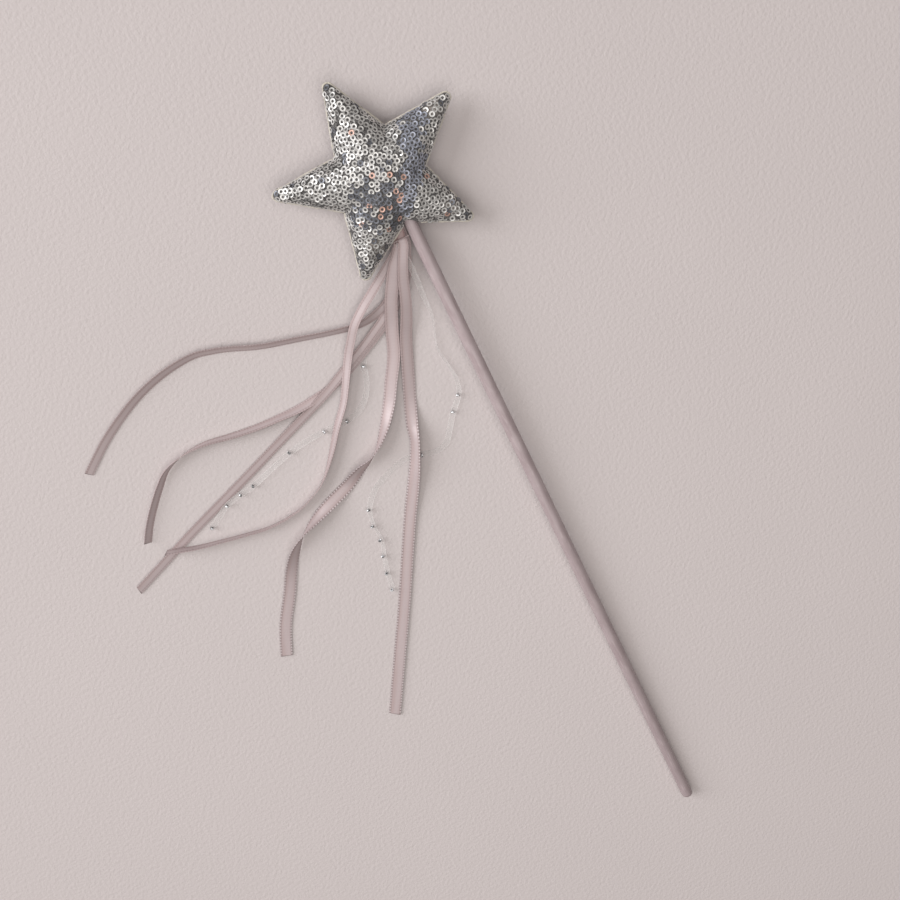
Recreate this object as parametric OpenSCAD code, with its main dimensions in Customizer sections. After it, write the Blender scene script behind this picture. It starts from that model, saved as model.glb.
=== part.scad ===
// Toy magic wand, lying on its back: a stuffed star of sequin cloth on a painted dowel,
// with satin ribbons and beaded organza strands sewn in where the dowel enters the star.
// Millimetres. The dowel runs along Y with the star at +Y, and the floor is z = 0.

/* [Star] */
// Reach of an arm's tip from the centre
tip_radius = 50; // [45:1:54]
// Reach of a notch between two arms from the centre
notch_radius = 23.2; // [21:0.4:25]
// Radius of the rounded arm tips
tip_round_radius = 2.4; // [1.6:0.2:3]
// Height of the front crown above the seam
front_rise = 12; // [10:0.5:14]
// Depth of the back crown below the seam
back_drop = 11; // [10:0.5:12.5]
// Turn of the star about the dowel's axis as seen from the front, in degrees
star_turn = 3.5; // [2:0.5:5]
// Thickness of the sequin cloth
cloth_wall = 0.8; // [0.6:0.1:1]
// Thickness of the lining under the sequin cloth
lining_wall = 0.5; // [0.4:0.1:0.7]
// Gap between the front and back halves at the seam
seam_gap = 0.1; // [0.05:0.05:0.2]

/* [Stick] */
// Diameter of the painted dowel
stick_d = 6.5; // [5.8:0.1:7]
// Length of the dowel that shows, from the star's notch to the tip
shown_length = 379; // [330:1:400]
// Length of the dowel inside the star
buried_length = 32; // [28:1:36]
// Diameter of the dowel's tapered end inside the star
insert_d = 5.6; // [5:0.1:5.8]
// Length of the taper that shows below the notch
taper_lead = 12; // [10:0.5:14]
// Radius of the rounding at the tip
tip_fillet = 2.2; // [1.2:0.1:2.6]
// Sideways distance of the dowel's axis from the star's centre
stick_shift = 3.6; // [3:0.1:4.2]
// Lean of the dowel towards the ribbons as seen from the front, in degrees
stick_lean = 0.4; // [0:0.1:0.8]

/* [Glue] */
// Thickness of the glue round the dowel
glue_wall = 1.8; // [1.2:0.1:2.2]
// Length of the glue collar
glue_length = 8; // [5:0.5:10]
// Distance of the collar from the star's centre
glue_start = 7; // [5:0.5:8]

/* [Neck] */
// Diameter of the thread bar that the ribbons hang from
thread_d = 1; // [0.8:0.1:1.1]
// Distance of the thread bar from the notch
thread_offset = 6.5; // [6.2:0.1:6.8]

/* [Ribbons] */
// Width of the two wide satin ribbons
wide_w = 6.5; // [5:0.5:6.5]
// Width of the four narrow satin ribbons
narrow_w = 4.5; // [3:0.5:4.5]
// Thickness of a satin ribbon
ribbon_t = 0.4; // [0.25:0.05:0.4]

/* [Strands] */
// Width of an organza strand
strand_w = 3; // [2:0.2:3]
// Thickness of an organza strand
strand_t = 0.3; // [0.2:0.05:0.3]
// Diameter of a bead
bead_d = 2.2; // [1.6:0.1:2.4]
// Diameter of the hole through a bead
bead_bore = 0.7; // [0.5:0.1:0.9]

/* [Hidden] */
$fn = 48;

// Clearances: dowel in cloth, layer on layer, glue on dowel, roots beside their neighbours,
// bead on strand
hole_gap = 0.15;
layer_gap = 0.2;
glue_gap = 0.05;
root_gap = 0.35;
bead_gap = 0.1;
// Depth of the flat on which the back of the star rests
flat_cut = 0.5;
// Drop of the uppermost ribbon root below the seam, and the step from each root to the next
root_drop = 1;
root_pitch = 0.7;

// The star's outline: small hand-made differences of the five arms, from the top arm anticlockwise
arm_count = 5;
arm_pitch = 360 / arm_count;
tip_shares = [0.95, 1.022, 1.011, 0.99, 0.99];
tip_leans = [0.9, -0.2, -2.1, -0.5, 0.4];
notch_shares = [0.94, 1.04, 1.11, 0.97, 0.97];
notch_leans = [4, -1, -1, -1, -1];
// Points along a straight edge and round a tip
edge_steps = 3;
tip_steps = 4;

function polar(r, a) = [r * cos(a), r * sin(a)];
function bearing(v) = atan2(v.y, v.x);
// Difference of two angles, from -180 to 180
function turn(a, b) = (a - b + 900) % 360 - 180;
function tip_angle(i) = 90 + star_turn + arm_pitch * i + tip_leans[i];
function notch_angle(i) = 90 + star_turn + arm_pitch * (i + 0.5) + notch_leans[i];
function notch_at(i) = polar(notch_radius * notch_shares[i], notch_angle(i));
function tip_centre(i) = polar(tip_radius * tip_shares[i] - tip_round_radius, tip_angle(i));
// Angle, from the arm's own direction, at which the edge from notch q touches the tip's circle
function touch(i, q, side) = let (v = tip_centre(i) - q)
    turn(bearing(v) + side * (asin(tip_round_radius / norm(v)) + 90), tip_angle(i));
function tip_point(i, a) = tip_centre(i) + polar(tip_round_radius, tip_angle(i) + a);
function between(p, q, share) = p + (q - p) * share;

function arm(i) = let (
        before = notch_at((i + arm_count - 1) % arm_count),
        after = notch_at(i),
        first = touch(i, before, -1),
        last = touch(i, after, 1),
        round_tip = [for (s = [0:tip_steps]) tip_point(i, first + (last - first) * s / tip_steps)]
    ) concat(
        [for (s = [0:edge_steps - 1]) between(before, round_tip[0], s / edge_steps)],
        round_tip,
        [for (s = [1:edge_steps - 1]) between(round_tip[tip_steps], after, s / edge_steps)]
    );
outline = [for (i = [0:arm_count - 1]) each arm(i)];
outline_count = len(outline);

// The edge of the notch on the ribbons' side, from the notch to the arm's tip
neck_arm = 2;
neck_notch = notch_at(neck_arm);
neck_tip = tip_point(neck_arm, touch(neck_arm, neck_notch, 1));
neck_slope = (neck_tip.y - neck_notch.y) / (neck_tip.x - neck_notch.x);
function neck_edge_x(y) = neck_notch.x + (y - neck_notch.y) / neck_slope;
function neck_edge_y(x) = neck_notch.y + (x - neck_notch.x) * neck_slope;
// The side of the dowel that faces the ribbons, seen from above
function stick_side_x(y) = stick_shift + y * tan(stick_lean) - stick_r;

// Heights and lengths that follow from the driving sizes
stick_r = stick_d / 2;
seam_z = back_drop - flat_cut + seam_gap / 2;
neck_drop = -neck_notch.y;
tip_distance = neck_drop + shown_length;
slope = asin((seam_z - stick_r) / (tip_distance - tip_fillet));
star_x = -(max([for (p = outline) p.x]) + min([for (p = outline) p.x])) / 2;
star_y = (tip_distance * cos(slope) * cos(stick_lean) - max([for (p = outline) p.y])) / 2;
neck_y = star_y - neck_drop;

// Nested layers of the star, each a share of the outline so that the walls keep their thickness
edge_distance = tip_radius * notch_radius * sin(arm_pitch / 2)
    / norm(polar(tip_radius, arm_pitch / 2) - [notch_radius, 0]);
function inset_share(inset) = 1 - inset / edge_distance;
lining_inset = cloth_wall + layer_gap;
stuffing_inset = lining_inset + lining_wall + layer_gap;
ring_count = 5;
round_share = 1.12;
crown_power = 0.7;
function ring_share(j) = sin(90 * j / ring_count);
function crown_share(rho) = pow(max(0, 1 - rho * rho), crown_power);
// A point of the outline drawn in to one ring: the inner rings grow rounder
function drawn_in(p, rho) = let (soft = notch_radius * round_share, r = norm(p))
    p / r * rho * (soft + (r - soft) * rho);
// One half of the star: its centre, then its rings out to the seam, as heights from the seam
function half_star(inset, depth, cut) = let (top = depth - cut - inset) concat(
    [[0, 0, top]],
    [for (j = [1:ring_count]) for (p = outline) let (
            rho = ring_share(j),
            q = drawn_in(p, rho) * inset_share(inset)
        ) [q.x, q.y, min((depth - inset) * crown_share(rho), top)]]
);
half_count = 1 + ring_count * outline_count;
function on_ring(j, k) = 1 + (j - 1) * outline_count + k % outline_count;
function outer_faces() = [for (k = [0:outline_count - 1]) each concat(
    [[0, on_ring(1, k + 1), on_ring(1, k)]],
    [for (j = [1:ring_count - 1]) each [
        [on_ring(j, k), on_ring(j, k + 1), on_ring(j + 1, k + 1)],
        [on_ring(j, k), on_ring(j + 1, k + 1), on_ring(j + 1, k)]
    ]]
)];
function turned_over(faces) = [for (f = faces) [f[2] + half_count, f[1] + half_count, f[0] + half_count]];
// The band that joins the rims of two halves or of two walls
function rim_faces() = [for (k = [0:outline_count - 1]) let (
        a = on_ring(ring_count, k),
        b = on_ring(ring_count, k + 1)
    ) each [[a, b, b + half_count], [a, b + half_count, a + half_count]]];
star_faces = concat(outer_faces(), turned_over(outer_faces()), rim_faces());

// One cloth half of the star: a crowned shell, open at the seam
module star_shell(inset, wall, depth, cut) {
    polyhedron(
        concat(half_star(inset, depth, cut), half_star(inset + wall, depth, cut)),
        star_faces
    );
}

module at_star() {
    translate([star_x, star_y, seam_z]) children();
}

// Along the dowel's axis from beside the star's centre, with +Z towards the tip
module along_stick() {
    at_star() translate([stick_shift, 0, 0]) rotate([90 + slope, 0, -stick_lean]) children();
}

module stick_hole() {
    along_stick() cylinder(r = stick_r + hole_gap, h = neck_drop + taper_lead);
}

module front_half(inset, wall) {
    difference() {
        at_star() translate([0, 0, seam_gap / 2]) star_shell(inset, wall, front_rise, 0);
        stick_hole();
    }
}

module back_half(inset, wall) {
    difference() {
        at_star() mirror([0, 0, 1]) translate([0, 0, seam_gap / 2])
            star_shell(inset, wall, back_drop, flat_cut);
        stick_hole();
    }
}

module front_cloth() {
    color("silver") front_half(0, cloth_wall);
}

module back_cloth() {
    color("silver") back_half(0, cloth_wall);
}

module front_lining() {
    color("tan") front_half(lining_inset, lining_wall);
}

module back_lining() {
    color("tan") back_half(lining_inset, lining_wall);
}

// The fibre filling, with the socket that the dowel and its glue fill
module stuffing() {
    front = [for (p = half_star(stuffing_inset, front_rise, 0)) p + [0, 0, seam_gap / 2]];
    back = [for (p = half_star(stuffing_inset, back_drop, flat_cut)) [p.x, p.y, -p.z - seam_gap / 2]];
    color("white") difference() {
        at_star() polyhedron(concat(front, back), star_faces);
        stick_hole();
        along_stick() translate([0, 0, -buried_length + neck_drop - layer_gap])
            cylinder(r = stick_r + hole_gap, h = buried_length);
        along_stick() translate([0, 0, glue_start - layer_gap])
            cylinder(r = glue_r + layer_gap, h = glue_length + 2 * layer_gap);
    }
}

// The dowel's half profile, grown by a clearance: tapered end, straight wall and rounded tip
module stick_profile(grow) {
    insert_r = insert_d / 2 + grow;
    r = stick_r + grow;
    inner_end = neck_drop - buried_length - grow;
    wall_start = neck_drop + taper_lead;
    wall_end = tip_distance - tip_fillet;
    polygon([[0, inner_end], [insert_r, inner_end], [r, wall_start], [0, wall_start]]);
    translate([0, wall_start]) square([r, wall_end - wall_start]);
    translate([0, wall_end]) intersection() {
        union() {
            square([r - tip_fillet, tip_fillet]);
            translate([r - tip_fillet, 0]) circle(r = tip_fillet);
        }
        square([r, tip_fillet]);
    }
}

module stick() {
    color("rosybrown") along_stick() rotate_extrude() stick_profile(0);
}

// Hot glue round the buried dowel
glue_r = stick_r + glue_wall;
module glue_collar() {
    color("ivory") along_stick() difference() {
        translate([0, 0, glue_start]) cylinder(r = glue_r, h = glue_length);
        rotate_extrude() stick_profile(glue_gap);
    }
}

// Ribbon ends sewn into the seam beside the dowel, one above the other
root_count = 8;
module ribbon_roots() {
    low_y = -neck_drop - thread_offset + root_gap;
    inner_x = stick_side_x(low_y) - root_gap;
    edge_shift = root_gap * 2;
    color("thistle") for (k = [0:root_count - 1])
        at_star() translate([0, 0, -root_drop - root_pitch * k - ribbon_t / 2])
            linear_extrude(ribbon_t) polygon([
                [inner_x, low_y],
                [inner_x, neck_edge_y(inner_x - edge_shift)],
                [neck_edge_x(low_y) + edge_shift, low_y]
            ]);
}

// The thread bar from the dowel to the star's edge: the line on which the ribbons swing
module neck_thread() {
    thread_r = thread_d / 2;
    y = -neck_drop - thread_offset;
    x_from = neck_edge_x(y + thread_r) + root_gap;
    x_to = stick_side_x(y) - hole_gap;
    color("thistle") at_star() translate([x_from, y, 0]) rotate([0, 90, 0])
        cylinder(r = thread_r, h = x_to - x_from);
}

// Ribbon and strand routes, each point as [x, y, lift of the lowest edge off the floor, roll in degrees],
// from the thread bar to the cut end, with x and y from the notch
long_route = [
    [-5.2, -6.5, 9.3, 0], [-5.4, -9.5, 9.3, 0], [-7.4, -14, 9, 4], [-9.7, -19, 8.3, 12],
    [-12.5, -26, 6.9, 16], [-16, -36, 5.2, 16], [-20, -45, 3.1, 12], [-25, -55, 1.2, 10],
    [-33, -74, 0.4, 8], [-38, -86, 0.4, 14], [-42, -96, 0.7, 32], [-45, -105, 1.2, 48],
    [-51, -117, 1.2, 36], [-58, -129, 0.7, 18], [-66, -142, 0.4, 8], [-77, -161, 0.4, 4],
    [-92, -187, 0.4, 3], [-109.4, -215.8, 0.4, 4], [-126.7, -244.7, 0.4, 3]
];
twist_route = [
    [-6.4, -6.5, 7.9, 0], [-6.8, -9.5, 7.8, 0], [-10.3, -14, 7.6, 0], [-14.2, -18.5, 7.2, 0],
    [-18, -25, 5.8, -2], [-21.6, -31, 4.4, -4], [-24.6, -37, 3.5, -4], [-29, -47, 1.8, 4],
    [-34, -59, 0.6, 10], [-41, -70, 0.4, 16], [-48, -81, 0.4, 28], [-57, -92, 0.4, 55],
    [-67, -101, 0.4, 90], [-78, -106, 0.4, 125], [-88, -111, 0.4, 146], [-100, -115, 0.4, 164],
    [-111, -119, 0.4, 205], [-121, -124, 0.4, 265], [-129, -131, 0.4, 315], [-136, -140, 0.4, 344],
    [-143, -151, 0.4, 356], [-154, -167, 0.4, 358], [-162, -183, 0.4, 360]
];
cross_route = [
    [-7.2, -6.5, 7.2, 0], [-7.6, -9, 7.1, 0], [-12, -13, 6.3, 0], [-20.5, -18.8, 5.6, 0],
    [-29.8, -24.6, 5.8, 16], [-36.9, -29.1, 5.8, 22], [-43.9, -34.6, 5.5, 20], [-48.9, -40.6, 4.5, 18],
    [-54.8, -48.6, 3, 24], [-60.6, -57.7, 2.2, 34], [-68, -69, 1.4, 44], [-77, -79, 1.3, 50],
    [-85, -89, 0.7, 56], [-94, -99, 0.4, 76], [-102, -105, 0.4, 92], [-115, -110, 0.4, 104],
    [-132, -111.5, 0.4, 114], [-147, -109, 0.5, 118], [-160, -106, 0.9, 118], [-172, -103, 1.4, 118],
    [-187, -98, 1.4, 120]
];
arch_route = [
    [-2.6, -6.5, 6.5, 0], [-3.05, -10.5, 6.1, 0], [-7, -17.5, 5, 0], [-13.3, -24.5, 3.9, 0],
    [-20.5, -30, 2.6, 2], [-27, -34, 2, 8], [-36, -36.5, 1.1, 34], [-45, -36.5, 0.4, 62],
    [-58, -33.5, 0.3, 82], [-72, -29.5, 0.3, 88], [-91, -24, 0.3, 90], [-105.4, -18, 0.3, 90],
    [-113.5, -15.2, 0.3, 86], [-123.6, -13, 0.3, 80], [-138.6, -14, 0.3, 74], [-153.6, -17.6, 0.3, 70],
    [-167.6, -23.2, 0.3, 68], [-183.7, -31.8, 0.3, 66], [-199.8, -43, 0.3, 66]
];
straight_route = [
    [-3.4, -6.5, 5.8, 0], [-3.8, -11.5, 5.2, 0], [-7.2, -19, 4, 0], [-13.6, -27, 2.8, 0],
    [-22, -34, 1.9, 0], [-30, -39.5, 1.7, 0], [-44, -47, 1.6, 0], [-59, -54, 1.5, 0], [-72, -60, 1.4, -4],
    [-85, -65, 0.9, -8], [-107, -73, 0.4, -8], [-129, -81, 0.4, -6], [-149, -88, 0.4, -4],
    [-169, -95, 0.4, -3], [-190, -103, 0.4, -2], [-211, -111, 0.4, 0]
];
curl_route = [
    [-4, -6.5, 5.1, 0], [-4.3, -12.5, 4.3, 0], [-6.8, -20, 3.1, 0], [-12, -28, 1.8, 0], [-20, -35.5, 1, 0],
    [-30, -42, 0.9, 0], [-44, -49, 0.8, 0], [-57, -55, 0.7, 0], [-70, -59.5, 0.5, 0], [-81, -61, 0.4, -14],
    [-90, -61.5, 0.4, -36], [-100, -61, 0.4, -48], [-114, -60, 0.4, -50], [-127, -58, 0.4, -50],
    [-140, -55.5, 0.4, -62], [-152, -55.5, 0.4, -88], [-163.8, -59, 0.4, -118], [-172, -65.5, 0.4, -138],
    [-181, -74.4, 0.4, -142], [-188, -82.4, 0.4, -144], [-193, -89.5, 0.4, -144]
];
left_route = [
    [-4.6, -6.5, 4.4, 0], [-4.9, -13, 3.4, 0], [-7.6, -21, 2, 0], [-14, -29, 0.7, 0], [-22, -36, 0.2, 0],
    [-32, -42, 0.1, 0], [-41, -47.5, 0.1, 0], [-47, -52, 0.1, 0], [-50, -57, 0.2, 10], [-52, -64, 0.2, 30],
    [-56, -71, 0.2, 20], [-63, -77, 0.2, 8], [-71, -79, 0.2, 0], [-77, -79, 0.2, 0], [-84, -78.5, 0.2, 0],
    [-95, -79, 0.2, 24], [-105, -80.5, 0.2, 20], [-118, -84, 0.2, 40], [-130, -87.5, 0.6, 10],
    [-138, -88.5, 1.1, 0], [-147, -90.5, 1.3, 0], [-154, -94.5, 0.8, 0], [-160, -98, 0.2, 0]
];
right_route = [
    [-6.6, -6.5, 8.6, 0], [-6.3, -10, 8.5, 0], [-6, -14, 8.5, 0], [-6, -20, 7.7, 4], [-6.4, -29, 4, 16],
    [-7, -39, 1.6, 40], [-7.6, -49, 0.3, 66], [-10, -57, 0.2, 76], [-12.5, -66, 0.2, 70],
    [-11.5, -76, 0.2, 60], [-11, -85, 0.2, 45], [-13.5, -93, 0.2, 30], [-20, -100, 0.2, 20],
    [-26, -108, 0.2, 24], [-31, -114, 0.2, 8], [-38, -115.5, 0.2, 0], [-45, -113.5, 0.2, 0],
    [-55, -112, 0.2, 0], [-66, -115, 0.2, 0], [-76, -120, 0.2, 6], [-83, -128, 0.2, 30],
    [-85, -137, 0.2, 50], [-85, -146, 0.2, 50], [-88, -155, 0.2, 40], [-91, -165, 0.2, 30],
    [-93, -175, 0.2, 20]
];
// The points of each strand's route that carry a bead
left_bead_points = [8, 12, 14, 16, 18, 19, 20, 22];
right_bead_points = [11, 12, 16, 20, 21, 22, 23, 24, 25];

// Rings on each stretch of a route between two points
route_steps = 3;
// Route points as [x, y, height of the middle, roll]
function lifted(route, w, t) = [for (p = route)
    [p[0], p[1], p[2] + w / 2 * abs(sin(p[3])) + t / 2 * abs(cos(p[3])), p[3]]];
// A smooth curve through points a, b, c and d, at a share of the way from b to c
function smooth(a, b, c, d, share) = b + share / 2 * (c - a
    + share * (2 * a - 5 * b + 4 * c - d + share * (3 * b - a - 3 * c + d)));
function smoothed(points) = let (last = len(points) - 1) concat(
    [for (i = [0:last - 1]) for (s = [0:route_steps - 1]) smooth(
        points[max(0, i - 1)], points[i], points[i + 1], points[min(last, i + 2)], s / route_steps)],
    [points[last]]
);
function place(p) = [p[0], p[1], p[2]];
function unit(v) = v / norm(v);
// Rings of a strip as [middle, direction, side, normal]
function strip(route, w, t) = let (points = smoothed(lifted(route, w, t)), last = len(points) - 1)
    [for (i = [0:last]) let (
            along = unit(place(points[min(last, i + 1)]) - place(points[max(0, i - 1)])),
            level = unit([-along.y, along.x, 0]),
            up = cross(along, level),
            roll = points[i][3]
        ) [place(points[i]), along, level * cos(roll) + up * sin(roll), up * cos(roll) - level * sin(roll)]];

// A flat strip swept along a route
module ribbon(route, w, t) {
    rings = strip(route, w, t);
    last = len(rings) - 1;
    points = [for (r = rings) each [
        r[0] - r[2] * w / 2 - r[3] * t / 2,
        r[0] + r[2] * w / 2 - r[3] * t / 2,
        r[0] + r[2] * w / 2 + r[3] * t / 2,
        r[0] - r[2] * w / 2 + r[3] * t / 2
    ]];
    // The upper and lower faces share their diagonals, so that a twisted strip keeps its thickness
    sides = [for (i = [0:last - 1]) for (c = [0:3]) let (
            a = 4 * i + c,
            b = 4 * i + (c + 1) % 4
        ) each c == 2 ? [[a, a + 4, b], [b, a + 4, b + 4]] : [[a, a + 4, b + 4], [a, b + 4, b]]];
    end = 4 * last;
    caps = [[0, 1, 2], [0, 2, 3], [end + 2, end + 1, end], [end + 3, end + 2, end]];
    translate([star_x, neck_y, 0]) polyhedron(points, concat(sides, caps));
}

// Drilled beads sewn on the upper face of a strand
module beads(route, bead_points) {
    rings = strip(route, strand_w, strand_t);
    for (i = bead_points) {
        r = rings[i * route_steps];
        translate([star_x, neck_y, 0] + r[0] + r[3] * (strand_t / 2 + bead_gap + bead_d / 2))
            rotate([0, acos(r[1].z), bearing(r[1])]) difference() {
                sphere(d = bead_d);
                translate([0, 0, -bead_d]) cylinder(d = bead_bore, h = bead_d * 2);
            }
    }
}

module long_ribbon() {
    color("thistle") ribbon(long_route, wide_w, ribbon_t);
}

module twist_ribbon() {
    color("thistle") ribbon(twist_route, wide_w, ribbon_t);
}

module cross_ribbon() {
    color("thistle") ribbon(cross_route, narrow_w, ribbon_t);
}

module arch_ribbon() {
    color("thistle") ribbon(arch_route, narrow_w, ribbon_t);
}

module straight_ribbon() {
    color("thistle") ribbon(straight_route, narrow_w, ribbon_t);
}

module curl_ribbon() {
    color("thistle") ribbon(curl_route, narrow_w, ribbon_t);
}

module left_strand() {
    color("whitesmoke") ribbon(left_route, strand_w, strand_t);
}

module left_beads() {
    color("lightgray") beads(left_route, left_bead_points);
}

module right_strand() {
    color("whitesmoke") ribbon(right_route, strand_w, strand_t);
}

module right_beads() {
    color("lightgray") beads(right_route, right_bead_points);
}

stick();
glue_collar();
stuffing();
front_lining();
back_lining();
front_cloth();
back_cloth();
ribbon_roots();
neck_thread();
long_ribbon();
twist_ribbon();
cross_ribbon();
arch_ribbon();
straight_ribbon();
curl_ribbon();
left_strand();
left_beads();
right_strand();
right_beads();
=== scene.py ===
"""Visual scene of a toy magic wand.

A stuffed star of sequin cloth sits on a painted dowel. Satin ribbons and beaded organza strands
hang from a thread bar beside the dowel. Lengths are in metres, in the part's own frame: the dowel
runs along Y with the star at +Y, and the floor is z = 0.
"""

import logging
import math
import random
from collections.abc import Callable, Sequence
from dataclasses import dataclass, field
from enum import Enum

import bmesh
import bpy
from mathutils import Matrix, Vector
from mathutils.geometry import intersect_point_line
from mathutils.kdtree import KDTree


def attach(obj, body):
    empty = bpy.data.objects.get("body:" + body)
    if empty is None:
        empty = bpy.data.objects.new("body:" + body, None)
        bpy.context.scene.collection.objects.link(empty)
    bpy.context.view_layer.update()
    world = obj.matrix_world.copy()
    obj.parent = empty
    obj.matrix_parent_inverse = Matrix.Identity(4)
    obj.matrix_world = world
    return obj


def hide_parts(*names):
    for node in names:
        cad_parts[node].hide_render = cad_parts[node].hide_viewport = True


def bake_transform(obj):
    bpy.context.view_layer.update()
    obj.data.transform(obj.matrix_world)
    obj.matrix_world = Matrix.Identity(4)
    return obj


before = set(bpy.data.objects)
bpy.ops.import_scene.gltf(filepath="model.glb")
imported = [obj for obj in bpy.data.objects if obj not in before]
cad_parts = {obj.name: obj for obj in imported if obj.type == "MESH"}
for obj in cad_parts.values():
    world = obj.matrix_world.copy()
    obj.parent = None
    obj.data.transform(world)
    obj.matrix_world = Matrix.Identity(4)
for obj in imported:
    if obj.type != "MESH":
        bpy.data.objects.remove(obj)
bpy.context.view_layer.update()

LOG = logging.getLogger("wand")
MM = 0.001
SEED = 41

Colour = tuple[float, float, float]
Number = "Value | float"


class Body(Enum):
    """The part's rigid bodies."""

    WAND = "wand"
    STREAMERS = "streamers"
    TWIST = "twist_streamer"
    LONG = "long_streamer"


class Slot(Enum):
    """The record's material slots."""

    PAINT = "stick_paint"
    GLUE = "glue"
    CLOTH = "sequin_cloth"
    SATIN = "ribbon_satin"
    THREAD = "thread"
    ORGANZA = "organza"
    BEAD = "bead_glass"


class Side(Enum):
    """The two faces of the star, as the sign of their height from the seam."""

    FRONT = 1
    BACK = -1


# Shader tools


class Value:
    """A number in a node tree. Arithmetic on it adds Math nodes."""

    def __init__(self, graph: "Graph", socket: bpy.types.NodeSocket) -> None:
        """Wraps one output socket of a graph."""
        self.graph = graph
        self.socket = socket

    def math(self, operation: str, *terms: Number) -> "Value":
        """Adds one Math node.

        Args:
            operation: The Math node's operation.
            terms: Its inputs, in order.

        Returns:
            The node's result.
        """
        made = self.graph.node("ShaderNodeMath", {"operation": operation}, dict(enumerate(terms)))
        return Value(self.graph, made.outputs[0])

    def __add__(self, other: Number) -> "Value":
        """Sum."""
        return self.math("ADD", self, other)

    __radd__ = __add__

    def __sub__(self, other: Number) -> "Value":
        """Difference."""
        return self.math("SUBTRACT", self, other)

    def __rsub__(self, other: float) -> "Value":
        """Difference from a plain number."""
        return self.math("SUBTRACT", other, self)

    def __mul__(self, other: Number) -> "Value":
        """Product."""
        return self.math("MULTIPLY", self, other)

    __rmul__ = __mul__

    def __abs__(self) -> "Value":
        """Size without sign."""
        return self.math("ABSOLUTE", self)

    def wave(self, pitch: float) -> "Value":
        """A wave from 0 to 1 that repeats after each pitch of this value."""
        return self.math("SINE", self * (2 * math.pi / pitch)) * 0.5 + 0.5

    def step(self, low: float, high: float) -> "Value":
        """A soft step.

        Args:
            low: Value at which the step begins.
            high: Value at which it ends.

        Returns:
            0 below low, 1 above high.
        """
        made = self.graph.node(
            "ShaderNodeMapRange",
            {"interpolation_type": "SMOOTHSTEP"},
            {"Value": self, "From Min": low, "From Max": high},
        )
        return Value(self.graph, made.outputs[0])


class Graph:
    """One material's or world's node tree, emptied and filled again."""

    def __init__(self, owner: bpy.types.Material | bpy.types.World) -> None:
        """Clears the owner's tree."""
        owner.use_nodes = True
        self.tree = owner.node_tree
        self.tree.nodes.clear()

    def node(
        self,
        kind: str,
        settings: dict[str, object] | None = None,
        inputs: dict[str | int, object] | None = None,
    ) -> bpy.types.Node:
        """Adds a node.

        Args:
            kind: The node's type.
            settings: Properties that are set first.
            inputs: Values or links by socket name or index.

        Returns:
            The new node.
        """
        made = self.tree.nodes.new(kind)
        for key, value in (settings or {}).items():
            setattr(made, key, value)
        for key, value in (inputs or {}).items():
            self.put(made.inputs[key], value)
        return made

    def put(self, socket: bpy.types.NodeSocket, value: object) -> None:
        """Links or sets one input socket."""
        if isinstance(value, Value):
            self.tree.links.new(value.socket, socket)
        elif isinstance(value, bpy.types.NodeSocket):
            self.tree.links.new(value, socket)
        elif isinstance(value, tuple) and socket.type == "RGBA" and len(value) == 3:
            socket.default_value = (*value, 1.0)
        else:
            socket.default_value = value

    def place(self, scale: Sequence[float] = (1.0, 1.0, 1.0)) -> bpy.types.NodeSocket:
        """The piece's own coordinates, stretched by a scale along each axis."""
        spot = self.node("ShaderNodeTexCoord").outputs["Object"]
        return self.node("ShaderNodeMapping", None, {"Vector": spot, "Scale": scale}).outputs[0]

    def flat(self, first: Value, second: Value) -> bpy.types.NodeSocket:
        """Coordinates made of two values."""
        return self.node("ShaderNodeCombineXYZ", None, {0: first, 1: second}).outputs[0]

    def noise(self, spot: bpy.types.NodeSocket, scale: float, detail: float = 2.0) -> Value:
        """A cloudy value.

        Args:
            spot: Coordinates.
            scale: Cells per metre.
            detail: Octaves.

        Returns:
            A value from 0 to 1, mostly near a half.
        """
        made = self.node(
            "ShaderNodeTexNoise", None, {"Vector": spot, "Scale": scale, "Detail": detail}
        )
        return Value(self, made.outputs[0])

    def stored(self, name: str) -> Value:
        """A number kept on the mesh's points."""
        made = self.node("ShaderNodeAttribute", {"attribute_name": name})
        return Value(self, made.outputs["Fac"])

    def mix(self, share: Number, first: object, second: object) -> bpy.types.NodeSocket:
        """Blends two colours.

        Args:
            share: 0 for the first colour, 1 for the second.
            first: Colour or socket.
            second: Colour or socket.

        Returns:
            The blended colour.
        """
        made = self.node(
            "ShaderNodeMix", {"data_type": "RGBA"}, {0: share, 6: first, 7: second}
        )
        return made.outputs[2]

    def bump(self, height: Value, depth: float) -> bpy.types.NodeSocket:
        """A surface normal from a height of 0 to 1 and its depth in metres."""
        made = self.node("ShaderNodeBump", None, {"Height": height, "Distance": depth})
        return made.outputs[0]

    def surface(self, **inputs: object) -> None:
        """Ends the tree in one Principled surface; names have _ for spaces."""
        made = self.node(
            "ShaderNodeBsdfPrincipled",
            None,
            {key.replace("_", " "): value for key, value in inputs.items()},
        )
        self.node("ShaderNodeOutputMaterial", None, {"Surface": made.outputs[0]})


# Finishes


def scaled(colour: Colour, share: float) -> Colour:
    """The same colour, darker or lighter."""
    return tuple(part * share for part in colour)


@dataclass(frozen=True)
class Finish:
    """A finish that makes one material."""

    name: str

    def material(self) -> bpy.types.Material:
        """Makes the material, or gives the one already made."""
        found = bpy.data.materials.get(self.name)
        if found is None:
            found = bpy.data.materials.new(self.name)
            self.draw(Graph(found))
        return found

    def draw(self, graph: Graph) -> None:
        """Fills the material's node tree."""
        raise NotImplementedError


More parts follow.
